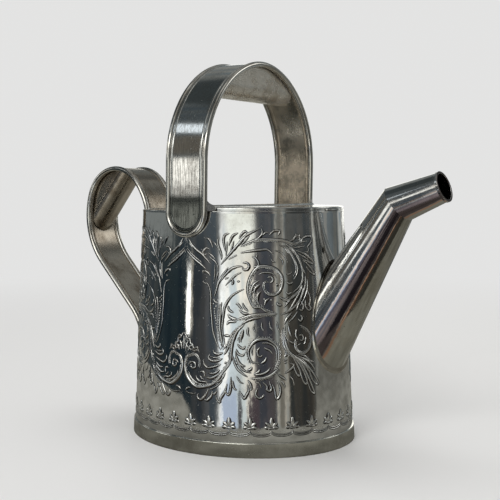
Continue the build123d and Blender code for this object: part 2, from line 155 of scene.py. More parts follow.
# Edge of the low card that the metal shows under the object: azimuth and distance
LOW_CARD_EDGE = [
    (-176, 0.301), (-166, 0.289), (-157, 0.262), (-147, 0.245), (-138, 0.232), (-129, 0.223),
    (-120, 0.21), (-116, 0.191), (-111, 0.165), (-106, 0.145), (-102, 0.132), (-98, 0.127),
    (-82, 0.129), (-65, 0.134), (-48, 0.139), (-30, 0.142), (-11, 0.14), (0, 0.152), (9, 0.275),
    (19, 0.9), (27, 2.5), (45, 2.5), (60, 0.7), (75, 0.34), (92, 0.26), (108, 0.34), (124, 0.9),
    (137, 0.76), (150, 0.505), (163, 0.362), (174, 0.31),
]
LOW_CARD_HEIGHT = -0.0001
LOW_CARD_COLOURS = [(0.3, (0.2, 0.197, 0.172)), (0.7, (0.315, 0.31, 0.275))]
LOW_CARD_GRAIN = (30, 4)
# Shade of the low card near the foot, and out to one side of the spout
FOOT_SHADE, FOOT_SHADE_REACH = 0.5, (0.06, 0.125)
SIDE_SHADE, SIDE_SHADE_REACH, SIDE_SHADE_WAY = 0.55, (0.04, 0.3), (0.82, 0.57, 0)


def only_in_metal(piece):
    """Card that is seen in polished metal and lights nothing."""
    for kind in ("camera", "diffuse", "shadow", "transmission", "volume_scatter"):
        setattr(piece, "visible_" + kind, False)


def make_floor():
    """Pale floor that fades into the backdrop for the camera."""
    bpy.ops.mesh.primitive_circle_add(
        vertices=96, radius=FLOOR_RADIUS, fill_type="NGON", location=(0, 0, 0))
    floor = bpy.context.object
    floor.name = "floor"
    material, tree = new_material("floor_pale")
    fade = between(tree, vector(tree, "LENGTH", surface(tree)), *FLOOR_FADE)
    seen = node(tree, "LightPath").outputs["Is Camera Ray"]
    matt = node(tree, "BsdfPrincipled", {"Base Color": FLOOR_COLOUR, "Roughness": FLOOR_ROUGH})
    glow = node(tree, "Emission", {"Color": PALE})
    inputs = {0: calc(tree, "MULTIPLY", fade, seen), 1: matt.outputs[0], 2: glow.outputs[0]}
    output(tree, node(tree, "MixShader", inputs))
    floor.data.materials.append(material)
    floor.visible_glossy = False


def make_low_card():
    """Dull card under the object that only the metal shows."""
    corners = [(0, 0, LOW_CARD_HEIGHT)]
    for azimuth, reach in LOW_CARD_EDGE:
        turn = math.radians(azimuth)
        corners.append((reach * math.cos(turn), reach * math.sin(turn), LOW_CARD_HEIGHT))
    around = len(LOW_CARD_EDGE)
    mesh = bpy.data.meshes.new("table")
    mesh.from_pydata(corners, [], [(0, 1 + i, 1 + (i + 1) % around) for i in range(around)])
    card = placed("table", mesh)
    material, tree = new_material("table_boards")
    place = surface(tree)
    colour = ramp(tree, noise(tree, place, *LOW_CARD_GRAIN), LOW_CARD_COLOURS)
    reach = vector(tree, "LENGTH", place)
    near = between(tree, reach, *FOOT_SHADE_REACH, FOOT_SHADE, 1.0)
    aside = vector(tree, "DOT_PRODUCT", place, SIDE_SHADE_WAY)
    side = between(tree, aside, *SIDE_SHADE_REACH, 1.0, SIDE_SHADE, smooth=False)
    strength = calc(tree, "MULTIPLY", near, side)
    output(tree, node(tree, "Emission", {"Color": colour, "Strength": strength}))
    mesh.materials.append(material)
    only_in_metal(card)


# Ring of cards round the object that polished metal shows: azimuth and colour
SURROUND = [
    (-180, (0.07, 0.077, 0.076)), (-166, (0.045, 0.053, 0.054)), (-157, (0.032, 0.041, 0.044)),
    (-153, (0.024, 0.035, 0.04)), (-140, (0.019, 0.03, 0.035)), (-119.5, (0.022, 0.032, 0.038)),
    (-117.5, (0.046, 0.05, 0.053)), (-106, (0.052, 0.054, 0.056)), (-104, (0.085, 0.088, 0.092)),
    (-93, (0.098, 0.108, 0.114)), (-90.2, (1.2, 1.22, 1.2)), (-76, (1.15, 1.12, 1.02)),
    (-66, (1.05, 1, 0.88)), (-59, (0.85, 0.8, 0.7)), (-57, (0.09, 0.086, 0.09)),
    (-44, (0.075, 0.07, 0.076)), (-37, (0.08, 0.072, 0.07)), (-35.5, (0.5, 0.46, 0.39)),
    (-33.5, (0.45, 0.42, 0.35)), (-32, (0.16, 0.15, 0.125)), (-28, (0.18, 0.17, 0.145)),
    (-26.5, (0.45, 0.42, 0.36)), (-23.5, (0.4, 0.37, 0.31)), (-22, (0.056, 0.053, 0.045)),
    (-3, (0.046, 0.043, 0.037)), (6, (0.048, 0.042, 0.034)), (11, (0.085, 0.08, 0.068)),
    (15, (0.22, 0.22, 0.2)), (28, (0.3, 0.3, 0.28)), (50, (0.24, 0.245, 0.23)),
    (56, (0.15, 0.152, 0.14)), (70, (0.13, 0.132, 0.12)), (75, (0.5, 0.51, 0.49)),
    (86, (0.42, 0.43, 0.41)), (90, (0.09, 0.092, 0.088)), (104, (0.14, 0.14, 0.13)),
    (112, (0.28, 0.28, 0.26)), (140, (0.3, 0.3, 0.275)), (150, (0.14, 0.145, 0.135)),
    (160, (0.09, 0.098, 0.095)), (180, (0.07, 0.077, 0.076)),
]
# Smaller cards inside the ring: span of azimuths, span of heights, and colour
SMALL_CARDS = [
    ("card_glint_left", (-160, -139), (9.5, 24), (1.4, 1.4, 1.35)),
    ("card_glint_right", (-119.5, -96), (9.5, 18), (1.2, 1.2, 1.15)),
    ("card_slit", (-125.2, -119.7), (-3.3, 3.1), (2, 2, 1.9)),
    ("card_slit_edge", (-120.7, -117.8), (-3, 4), (0.36, 0.34, 0.29)),
    ("card_handle", (-130.1, -125.5), (4.3, 10.9), (1.6, 1.55, 1.45)),
    ("card_handle_mid", (-134, -122), (11.3, 30.5), (0.12, 0.108, 0.09)),
    ("card_handle_top", (-142, -119), (30.3, 38.5), (0.95, 1.03, 1.1)),
    ("card_low_blue", (-90.6, -73.2), (-17, -4.9), (0.46, 0.54, 0.68)),
    ("card_low_gap", (-74.2, -70.2), (-17, -4.8), (0.085, 0.085, 0.09)),
    ("card_low_dark", (-66, -53), (-17, -4.6), (0.07, 0.055, 0.062)),
    ("card_low", (-111.5, -102.5), (-19, -9.6), (0.42, 0.46, 0.52)),
    ("card_corner", (150, 224), (3.2, 9.4), (0.2, 0.215, 0.21)),
    ("card_wall", (175, 191), (10.2, 18.5), (1.1, 1.1, 1.05)),
    ("card_window_top", (-88.5, -55), (4.2, 10.5), (1.05, 1.08, 1)),
    ("card_left", (88, 138), (1, 24), (1.5, 1.5, 1.42)),
    ("card_high", (-108, -62), (19, 34), (2.6, 2.6, 2.5)),
    ("card_side", (28, 60), (20, 38), (1.6, 1.6, 1.55)),
]
CEILING_HEIGHT, CEILING_RADIUS = 2, 1.62
CEILING_COLOURS = [(0.42, (0.09, 0.09, 0.085)), (0.58, (0.46, 0.46, 0.44))]
CEILING_DARK, CEILING_DARK_WAY = (0.04, 0.048, 0.05), (-0.958, -0.287, 0)
CEILING_DARK_REACH, CEILING_GRAIN = (0.2, 0.8), (1.6, 3)
RING_RADIUS, RING_DEPTH = 1.6, 4
# How far the ring's edges wander, in radians, and how it pales upwards
RING_SWAY, RING_GRAIN, TINT_GRAIN = 0.07, (4, 5, 0.65), (5.5, 2)
RING_LIFT_REACH, RING_LIFT, RING_LIFT_COLOUR = (0.02, 0.22), 0.45, (0.165, 0.175, 0.175)
RING_TINTS = [(0.44, (1, 1, 1)), (0.6, (0.6, 0.69, 0.78))]
# Each small card has a radius of its own
CARD_RADIUS, CARD_STEP, CARD_PIECES = 1.5, 0.01, 12
CARD_FADE = [(0.34, 1), (0.48, 0)]
NARROW_SPAN, NARROW_GRAIN, WIDE_GRAIN = 8, (55, 4), (22, 4)


def ring_colour(tree, place):
    """Colour of the ring of cards, from the azimuth and the height of a place on it."""
    parts = node(tree, "SeparateXYZ", {0: place}).outputs
    azimuth = calc(tree, "ARCTAN2", parts["Y"], parts["X"])
    wander = noise(tree, place, *RING_GRAIN)
    sway = calc(tree, "MULTIPLY_ADD", wander, RING_SWAY, -RING_SWAY / 2)
    turned = calc(tree, "ADD", azimuth, sway)
    share = calc(tree, "MULTIPLY_ADD", turned, 1 / (2 * math.pi), 0.5)
    middle = len(SURROUND) // 2
    halves = []
    for stops in (SURROUND[:middle + 1], SURROUND[middle:]):
        halves.append(ramp(tree, share, [((a + 180) / 360, c) for a, c in stops], "LINEAR"))
    split = (SURROUND[middle][0] + 180) / 360
    colour = mix(tree, calc(tree, "GREATER_THAN", share, split), *halves)
    upward = between(tree, parts["Z"], *RING_LIFT_REACH)
    colour = mix(tree, upward, colour, mix(tree, RING_LIFT, colour, RING_LIFT_COLOUR))
    tint = ramp(tree, noise(tree, place, *TINT_GRAIN), RING_TINTS)
    return mix(tree, 1.0, colour, tint, "MULTIPLY")


def make_surround():
    """Tall ring of dark and bright cards with a dim ceiling, seen only in the metal."""
    bpy.ops.mesh.primitive_cylinder_add(
        vertices=128, radius=RING_RADIUS, depth=RING_DEPTH, end_fill_type="NOTHING", location=(0, 0, 0))
    ring = bpy.context.object
    ring.name = "surround"
    material, tree = new_material("surround_cards")
    colour = ring_colour(tree, surface(tree))
    output(tree, node(tree, "Emission", {"Color": colour}))
    ring.data.materials.append(material)
    only_in_metal(ring)
    bpy.ops.mesh.primitive_circle_add(
        vertices=64, radius=CEILING_RADIUS, fill_type="NGON", location=(0, 0, CEILING_HEIGHT))
    ceiling = bpy.context.object
    ceiling.name = "ceiling"
    material, tree = new_material("ceiling_card")
    place = surface(tree)
    colour = ramp(tree, noise(tree, place, *CEILING_GRAIN), CEILING_COLOURS)
    side = vector(tree, "DOT_PRODUCT", place, CEILING_DARK_WAY)
    colour = mix(tree, between(tree, side, *CEILING_DARK_REACH), colour, CEILING_DARK)
    output(tree, node(tree, "Emission", {"Color": colour}))
    ceiling.data.materials.append(material)
    only_in_metal(ceiling)
    for layer, card in enumerate(SMALL_CARDS):
        make_card(CARD_RADIUS - CARD_STEP * layer, *card)


def make_card(radius, name, span, heights, colour):
    """Curved card that fades at its edges."""
    columns = CARD_PIECES + 1
    turns = np.radians(np.linspace(span[0], span[1], columns))
    levels = radius * np.tan(np.radians(heights))
    points = [(radius * math.cos(a), radius * math.sin(a), z) for z in levels for a in turns]
    mesh = bpy.data.meshes.new(name)
    faces = [(i, i + 1, i + 1 + columns, i + columns) for i in range(CARD_PIECES)]
    mesh.from_pydata(points, [], faces)
    layer = mesh.uv_layers.new(name="across")
    for loop in mesh.loops:
        row, column = divmod(loop.vertex_index, columns)
        layer.data[loop.index].uv = (column / CARD_PIECES, row)
    card = placed(name, mesh)
    material, tree = new_material(name)
    sides = node(tree, "SeparateXYZ", {0: surface(tree, "UV")}).outputs
    grain = WIDE_GRAIN if span[1] - span[0] > NARROW_SPAN else NARROW_GRAIN
    ragged = noise(tree, surface(tree), *grain)
    soft = []
    for way in ("X", "Y"):
        off = calc(tree, "ABSOLUTE", calc(tree, "SUBTRACT", sides[way], 0.5))
        off = calc(tree, "MULTIPLY_ADD", ragged, 0.5, calc(tree, "SUBTRACT", off, 0.25))
        soft.append(ramp(tree, off, CARD_FADE))
    inside = calc(tree, "MULTIPLY", *soft)
    glow = node(tree, "Emission", {"Color": (*colour, 1)})
    clear = node(tree, "BsdfTransparent")
    output(tree, node(tree, "MixShader", {0: inside, 1: clear.outputs[0], 2: glow.outputs[0]}))
    mesh.materials.append(material)
    only_in_metal(card)


# Strength of the world as a light, and as it is seen
WORLD_LIGHT, WORLD_SEEN = 0.65, 1


def make_world():
    """Pale surroundings, plain for every direction."""
    world = bpy.data.worlds.new("world")
    scene.world = world
    world.use_nodes = True
    tree = world.node_tree
    tree.nodes.clear()
    paths = node(tree, "LightPath").outputs
    seen = calc(tree, "MAXIMUM", paths["Is Camera Ray"], paths["Is Glossy Ray"])
    seen = calc(tree, "MAXIMUM", seen, paths["Is Transmission Ray"])
    strength = calc(tree, "MULTIPLY_ADD", seen, WORLD_SEEN - WORLD_LIGHT, WORLD_LIGHT)
    back = node(tree, "Background", {"Color": PALE, "Strength": strength})
    output(tree, back, "OutputWorld")


def make_lamp(name, place, aim, size, power):
    """Soft square lamp at a place, aimed at a point, in metres and watts."""
    data = bpy.data.lights.new(name, "AREA")
    data.shape = "RECTANGLE"
    data.size = data.size_y = size
    data.energy = power
    lamp = placed(name, data)
    lamp.location = place
    lamp.rotation_mode = "QUATERNION"
    lamp.rotation_quaternion = (Vector(aim) - Vector(place)).to_track_quat("-Z", "Y")
    lamp.visible_camera = False
    lamp.visible_glossy = False


make_floor()
make_low_card()
make_surround()
make_world()
make_lamp("lamp_front", (0.2, -1.3, 1.1), (0, 0, 0.08), 0.6, 9)
make_lamp("lamp_over", (-0.3, 0.2, 1.5), (0, 0, 0.05), 0.9, 8)


# Silver: colours, grains, shares and ramp stops, with lengths in metres
PLATE, TARNISH = (0.8, 0.8, 0.785), (0.36, 0.33, 0.27)
# Dark specks, and the dark of the painted shade in creases, which also stands for tarnish there
SPECK_COLOUR, CREASE_SHADE_COLOUR = (0.16, 0.13, 0.11), (0.05, 0.043, 0.033)
CLOUD_GRAIN, CLOUD_STOPS = (70, 9, 0.7), [(0.42, 0), (0.75, 1)]
SPECK_GRAIN, SPECK_STOPS = (900, 3), [(0.66, 0), (0.74, 1)]
SPECK_SHARE, SPECK_ROUGH = 0.5, 0.25
# Two crossed grains of hairline scratches: turn and stretch
SCRATCHES = [((0.3, 0.5, 0.9), (3000, 190, 240)), ((1.1, -0.4, 0.2), (260, 2600, 170))]
SCRATCH_GRAIN, SCRATCH_STRENGTH, SCRATCH_DEPTH = (1, 2), 0.1, 0.00004
WAVE_GRAIN, WAVE_DEPTH = (55, 2), 0.0005
# Painted shade in creases found by ambient occlusion: reach in metres, samples and ramp stops
NOOK_REACH, NOOK_SAMPLES, NOOK_STOPS = 0.0022, 8, (0.3, 0.72)
# Overhead handle: brushed streaks, painted dark reflection on the foot below a ragged level, matt inner
# face
STREAK_STRETCH, STREAK_STOPS = (1300, 1300, 110), [(0.42, 0), (0.64, 0.34)]
STREAK_GRAIN, STREAK_COLOUR, STREAK_ROUGH = (1, 5, 0.6), (0.3, 0.27, 0.22), 0.2
# Painted dark reflection on the strap's foot: colour and share, then levels in metres and raggedness
FOOT_REFLECTION_DARK, FOOT_REFLECTION_DARK_SHARE = (0.095, 0.105, 0.095), 0.96
FOOT_LEVELS, FOOT_RAGGED = (0.123, 0.1255), 0.003
ARCH_MIDDLE, INNER_REACH, INNER_ROUGH = 0.15, (-0.003, -0.012), 0.17
INNER_GRAIN, INNER_COLOURS = (150, 6, 0.65), [(0.4, (0.85, 0.73, 0.58)), (0.62, (0.46, 0.4, 0.32))]
# Spout: painted reflections in bands over the rise of its normal: stops, and colours with their shares
SPOUT_ANGLE = math.radians(57.7)
STRIPE_STOPS = [(0.13, 0), (0.17, 1), (0.34, 1), (0.38, 0)]
EDGE_STOPS = [(0.11, 0), (0.135, 1), (0.16, 0), (0.365, 0), (0.385, 0.7), (0.405, 0)]
UNDER_STOPS = [(0.1, 1), (0.16, 0)]
STRIPE_WANDER = 0.16
# Painted reflections: olive underside, dark purple-brown stripe and coppery edges, each with its share
UNDER, STRIPE = ((0.42, 0.4, 0.31), 0.6), ((0.085, 0.055, 0.062), 0.9)
EDGE = ((0.7, 0.35, 0.2), 0.8)
# Raised lines, and the brown of the wires and the collar
ENGRAVING_GRAIN, ENGRAVING_ROUGH = (130, 4), (0.2, 0.08)
# First colour: painted shade in the cut strips and at the ridges' edges; second: the bright crest
SHADE_AND_CREST_COLOURS = (0.03, 0.029, 0.026), (0.93, 0.93, 0.91)
CREST_STOPS, WORN_STOPS = [(0.16, 0), (0.58, 1)], [(0.45, 0), (0.7, 0.3)]
WORN_COLOUR, BROWN = (0.42, 0.36, 0.3), (0.27, 0.21, 0.145)


def silver(name, tone=PLATE, tarnish=TARNISH, amount=0.35, polish=0.08, blur=0.13, waviness=0.12,
           dull=0.0, crease_shade_share=0.85, strap=False, spout=False):
    """Worn silver plate: cloudy tarnish, dark specks, hairline scratches, and painted shade in the
    corners that also stands for tarnish there.
    """
    material, tree = new_material(name)
    place = surface(tree)
    clouds = noise(tree, place, *CLOUD_GRAIN)
    cloud = ramp(tree, clouds, CLOUD_STOPS)
    specks = ramp(tree, noise(tree, place, *SPECK_GRAIN), SPECK_STOPS)
    colour = mix(tree, calc(tree, "MULTIPLY", cloud, amount), tone, tarnish)
    colour = mix(tree, calc(tree, "MULTIPLY", specks, SPECK_SHARE * amount), colour, SPECK_COLOUR)
    rough = calc(tree, "MULTIPLY_ADD", cloud, blur, polish)
    rough = calc(tree, "ADD", rough, calc(tree, "MULTIPLY", specks, SPECK_ROUGH))
    if strap:
        colour, rough = strap_wear_and_reflection(tree, place, clouds, colour, rough)
    # Painted shade where ambient occlusion finds creases and grooves, standing also for tarnish gathered
    # there
    nook = node(tree, "AmbientOcclusion", {"Distance": NOOK_REACH}, samples=NOOK_SAMPLES).outputs["AO"]
    crease_shade = ramp(tree, nook, [(NOOK_STOPS[0], crease_shade_share), (NOOK_STOPS[1], 0.0)])
    colour = mix(tree, crease_shade, colour, CREASE_SHADE_COLOUR)
    # Painted reflection on the spout, in bands by which way its surface faces
    if spout:
        colour = spout_painted_reflection(tree, clouds, colour)
    inputs = {"Base Color": colour, "Roughness": rough, "Metallic": 1.0 - dull}
    inputs["Normal"] = worn_normal(tree, place, waviness)
    output(tree, node(tree, "BsdfPrincipled", inputs))
    return material


def worn_normal(tree, place, waviness):
    """Normal with soft waves and hairline scratches."""
    waves = {"Strength": waviness, "Distance": WAVE_DEPTH, "Height": noise(tree, place, *WAVE_GRAIN)}
    grains = []
    for turn, stretch in SCRATCHES:
        laid = node(tree, "Mapping", {"Vector": place, "Rotation": turn, "Scale": stretch})
        grains.append(noise(tree, laid.outputs[0], *SCRATCH_GRAIN))
    hair = {"Strength": SCRATCH_STRENGTH, "Distance": SCRATCH_DEPTH}
    hair["Height"] = calc(tree, "ADD", *grains)
    hair["Normal"] = node(tree, "Bump", waves).outputs[0]
    return node(tree, "Bump", hair).outputs[0]


def strap_wear_and_reflection(tree, place, clouds, colour, rough):
    """Brushed streaks, a painted dark reflection on the foot and a brown matt inner face, found from
    place and normal.
    """
    along = node(tree, "Mapping", {"Vector": place, "Scale": STREAK_STRETCH}).outputs[0]
    streak = ramp(tree, noise(tree, along, *STREAK_GRAIN), STREAK_STOPS)
    colour = mix(tree, streak, colour, STREAK_COLOUR)
    rough = calc(tree, "MULTIPLY_ADD", streak, STREAK_ROUGH, rough)
    # Painted dark reflection on the strap's foot, below a ragged height
    height = node(tree, "SeparateXYZ", {0: place}).outputs["Z"]
    level = calc(tree, "MULTIPLY_ADD", clouds, FOOT_RAGGED, height)
    low = between(tree, level, *FOOT_LEVELS, FOOT_REFLECTION_DARK_SHARE, 0.0, smooth=False)
    colour = mix(tree, low, colour, FOOT_REFLECTION_DARK)
    spoke = vector(tree, "SUBTRACT", place, (0, 0, ARCH_MIDDLE))
    spoke = vector(tree, "MULTIPLY", spoke, (0, 1, 1))
    facing = vector(tree, "DOT_PRODUCT", spoke, surface(tree, "Normal"))
    inside = between(tree, facing, *INNER_REACH, smooth=False)
    mottled = ramp(tree, noise(tree, place, *INNER_GRAIN), INNER_COLOURS)
    return mix(tree, inside, colour, mottled), calc(tree, "MULTIPLY_ADD", inside, INNER_ROUGH, rough)


def spout_painted_reflection(tree, clouds, colour):
    """Painted reflection: a purple-brown stripe with coppery edges along the flanks of the spout, and an
    olive tint underneath.
    """
    upper = (-math.sin(SPOUT_ANGLE), 0, math.cos(SPOUT_ANGLE))
    rise = vector(tree, "DOT_PRODUCT", surface(tree, "Normal"), upper)
    wander = calc(tree, "MULTIPLY_ADD", clouds, STRIPE_WANDER, -STRIPE_WANDER / 2)
    level = calc(tree, "MULTIPLY_ADD", calc(tree, "ADD", rise, wander), 0.5, 0.5)
    for stops, (tint, share) in ((UNDER_STOPS, UNDER), (STRIPE_STOPS, STRIPE), (EDGE_STOPS, EDGE)):
        factor = calc(tree, "MULTIPLY", ramp(tree, level, stops), share)
        colour = mix(tree, factor, colour, tint)
    return colour


def engraving_silver():
    """Silver of the raised lines: bright on the crest, painted shade at its edges and in the strips
    beside it, and brown worn patches at random.
    """
    material, tree = new_material("engraving_silver")
    crest = node(tree, "Attribute", attribute_name="crest").outputs["Fac"]
    worn = noise(tree, surface(tree), *ENGRAVING_GRAIN)
    # Painted shade where the crest value is low: the cut strips and the ridges' edges
    colour = mix(tree, ramp(tree, crest, CREST_STOPS), *SHADE_AND_CREST_COLOURS)
    colour = mix(tree, ramp(tree, worn, WORN_STOPS), colour, WORN_COLOUR)
    rough = calc(tree, "MULTIPLY_ADD", worn, *ENGRAVING_ROUGH)
    inputs = {"Base Color": colour, "Roughness": rough, "Metallic": 1.0}
    output(tree, node(tree, "BsdfPrincipled", inputs))
    return material


LOOKS = {
    "body_metal": dict(polish=0.045, blur=0.1, waviness=0.16),
    "foot_metal": dict(tone=(0.84, 0.83, 0.76), tarnish=(0.34, 0.31, 0.25), amount=0.6),
    "base_metal": dict(amount=0.7, polish=0.3),
    "rim_metal": dict(amount=0.4),
    "deck_metal": dict(amount=0.5, polish=0.16),
    "hinge_metal": dict(amount=0.6, polish=0.2),
    "strap_metal": dict(tone=(0.8, 0.81, 0.79), tarnish=(0.29, 0.24, 0.18), amount=0.45, polish=0.09,
                        blur=0.08, waviness=0.08, strap=True),
    "collar_metal": dict(tone=(0.62, 0.59, 0.52), tarnish=BROWN, amount=0.7, polish=0.12),
    # The rear handle takes less of the painted shade in its creases
    "loop_metal": dict(tone=(0.54, 0.48, 0.4), tarnish=(0.2, 0.15, 0.1), amount=0.9, polish=0.2,
                       crease_shade_share=0.35),
    "wire_metal": dict(tone=(0.76, 0.74, 0.69), tarnish=BROWN, amount=0.6, polish=0.1),
    "grip_metal": dict(tone=(0.8, 0.76, 0.67), tarnish=(0.33, 0.26, 0.17), amount=0.8, polish=0.22,
                       dull=0.25),
    "spout_metal": dict(tarnish=(0.34, 0.27, 0.2), amount=0.5, spout=True),
    "lid_metal": dict(amount=0.4, polish=0.12),
}
MATERIALS = {name: silver(name.replace("metal", "silver"), **look) for name, look in LOOKS.items()}
# Nodes of each slot, and nodes that look different from the rest of theirs
SLOT_NODES = {
    "body_metal": ["body_shell"],
    "foot_metal": ["foot_band"],
    "base_metal": ["base_plate"],
    "rim_metal": ["rim_ring"],
    "deck_metal": ["rear_deck"],
    "hinge_metal": ["hinge_leaf_fixed", "hinge_leaf_lid", "hinge_pin", "hinge_lug_near", "hinge_lug_far"],
    "lid_metal": ["lid_pan", "lid_skirt", "lid_lip"],
    "strap_metal": ["overhead_strap", "rear_strap"],
    "wire_metal": ["overhead_wire_front", "overhead_wire_rear", "rear_wire_near", "rear_wire_far"],
    "grip_metal": ["overhead_grip", "rear_grip"],
    "spout_metal": ["spout_tube", "spout_tip", "spout_lip", "spout_collar"],
}
OWN_LOOK = {"rear_strap": "loop_metal", "rear_grip": "loop_metal", "spout_collar": "collar_metal"}
for slot, names in SLOT_NODES.items():
    for name in names:
        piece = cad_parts[name]
        material = MATERIALS[OWN_LOOK.get(name, slot)]
        for held in piece.material_slots:
            held.material = material
        if not piece.material_slots:
            piece.data.materials.append(material)
ENGRAVED = engraving_silver()


# Body wall: half axes in mm at the height 0, and the slope of each, as in the solids
BASE_HALF_LENGTH, BASE_HALF_WIDTH = 59.7, 50.8
LONG_SLOPE, WIDE_SLOPE = 5.7 / 115.5, 4.4 / 115.5
# Height in mm at which distances round the wall are measured, and half the steps round it
TRACE_HEIGHT, HALF_STEPS = 60, 4000


def half_axes(height):
    """Half axes of the wall's outer oval at a height in mm."""
    return BASE_HALF_LENGTH - LONG_SLOPE * height, BASE_HALF_WIDTH - WIDE_SLOPE * height


def arc_table():
    """Arc length round the oval at the trace height, and its parameter, from the near side."""
    a, b = half_axes(TRACE_HEIGHT)
    turn = np.linspace(-math.pi, math.pi, 2 * HALF_STEPS + 1)
    x, y = a * np.sin(turn), -b * np.cos(turn)
    length = np.concatenate([[0], np.cumsum(np.hypot(np.diff(x), np.diff(y)))])
    return length - length[HALF_STEPS], turn


ARC_LENGTH, ARC_TURN = arc_table()
ROUND = ARC_LENGTH[-1] - ARC_LENGTH[0]


def on_wall(along, height, lift, far=False):
    """Points on the wall, in metres, from distance round it, height and lift off it in mm."""
    turn = np.interp(along, ARC_LENGTH, ARC_TURN)
    a, b = half_axes(height)
    point = np.stack([a * np.sin(turn), -b * np.cos(turn), height], -1)
    round_way = np.stack([a * np.cos(turn), b * np.sin(turn), 0 * turn], -1)
    up_way = np.stack([-LONG_SLOPE * np.sin(turn), WIDE_SLOPE * np.cos(turn), 1 + 0 * turn], -1)
    out = np.cross(round_way, up_way)
    out /= np.linalg.norm(out, axis=-1, keepdims=True)
    point = point + out * np.asarray(lift)[..., None]
    if far:
        point[..., 1] *= -1
    return point * MM


# Smooth line: step in mm, fewest points, and points per span
LINE_STEP, FEWEST_POINTS, SPAN_POINTS = 0.45, 5, 8


def smooth_line(points, step=LINE_STEP):
    """Even points on a smooth curve through the given ones."""
    p = np.array(points, float)
    if len(p) == 2:
        p = np.array([p[0], (p[0] + p[1]) / 2, p[1]])
    ends = np.concatenate([[2 * p[0] - p[1]], p, [2 * p[-1] - p[-2]]])
    t = np.linspace(0, 1, SPAN_POINTS + 1)[:-1, None]
    rows = []
    for i in range(1, len(ends) - 2):
        p0, p1, p2, p3 = ends[i - 1:i + 3]
        bend, twist = 2 * p0 - 5 * p1 + 4 * p2 - p3, 3 * p1 - p0 - 3 * p2 + p3
        rows.append(0.5 * (2 * p1 + (p2 - p0) * t + bend * t**2 + twist * t**3))
    rows.append(ends[-2][None])
    dense = np.concatenate(rows)
    run = np.concatenate([[0], np.cumsum(np.linalg.norm(np.diff(dense, axis=0), axis=1))])
    wanted = np.linspace(0, run[-1], max(FEWEST_POINTS, int(run[-1] / step) + 1))
    return np.stack([np.interp(wanted, run, dense[:, k]) for k in (0, 1)], -1)


def directions(line):
    """Unit ways along a line and to its left, at its points."""
    way = np.gradient(line, axis=0)
    way /= np.maximum(np.linalg.norm(way, axis=1, keepdims=True), 1e-9)
    return way, np.stack([-way[:, 1], way[:, 0]], -1)


# Widths of strokes in mm
BOLD, MAIN, FINE = 1.2, 0.86, 0.6
# Across a stroke: places over half its width, lifts over its height (in mm for the edges of the shade
# strips), and brightness, where 0 gives painted shade
RIDGE_PLACES, RIDGE_LIFTS = (-1, -0.55, 0, 0.55, 1), (-0.02, 0.015, 0.75, 1, 0.75, 0.015, -0.02)
RIDGE_CREST, EDGE_LIFT, SWELL_POWER, TIP_RISE = (0, 0, 0.8, 1, 0.8, 0, 0), 0.01, 0.6, 0.35
# Painted shade beside a ridge, a dark flat strip for its cut: width in mm, shares of it at a tip and on
# the lit side, and the way the shade falls
SHADE_STRIP_WIDTH, SHADE_STRIP_AT_TIP, SHADE_STRIP_LIT, SHADE_WAY = 0.58, 0.15, 0.35, (0.6, -0.8)
# Rings of a bead: radius, rise and brightness as shares; brightness 0 on the outer ring is painted shade
# round its foot
BEAD_AROUND, BEAD_RINGS = 8, ((0.5, 0.84, 0.8), (0.85, 0.45, 0.4), (1, -0.1, 0))


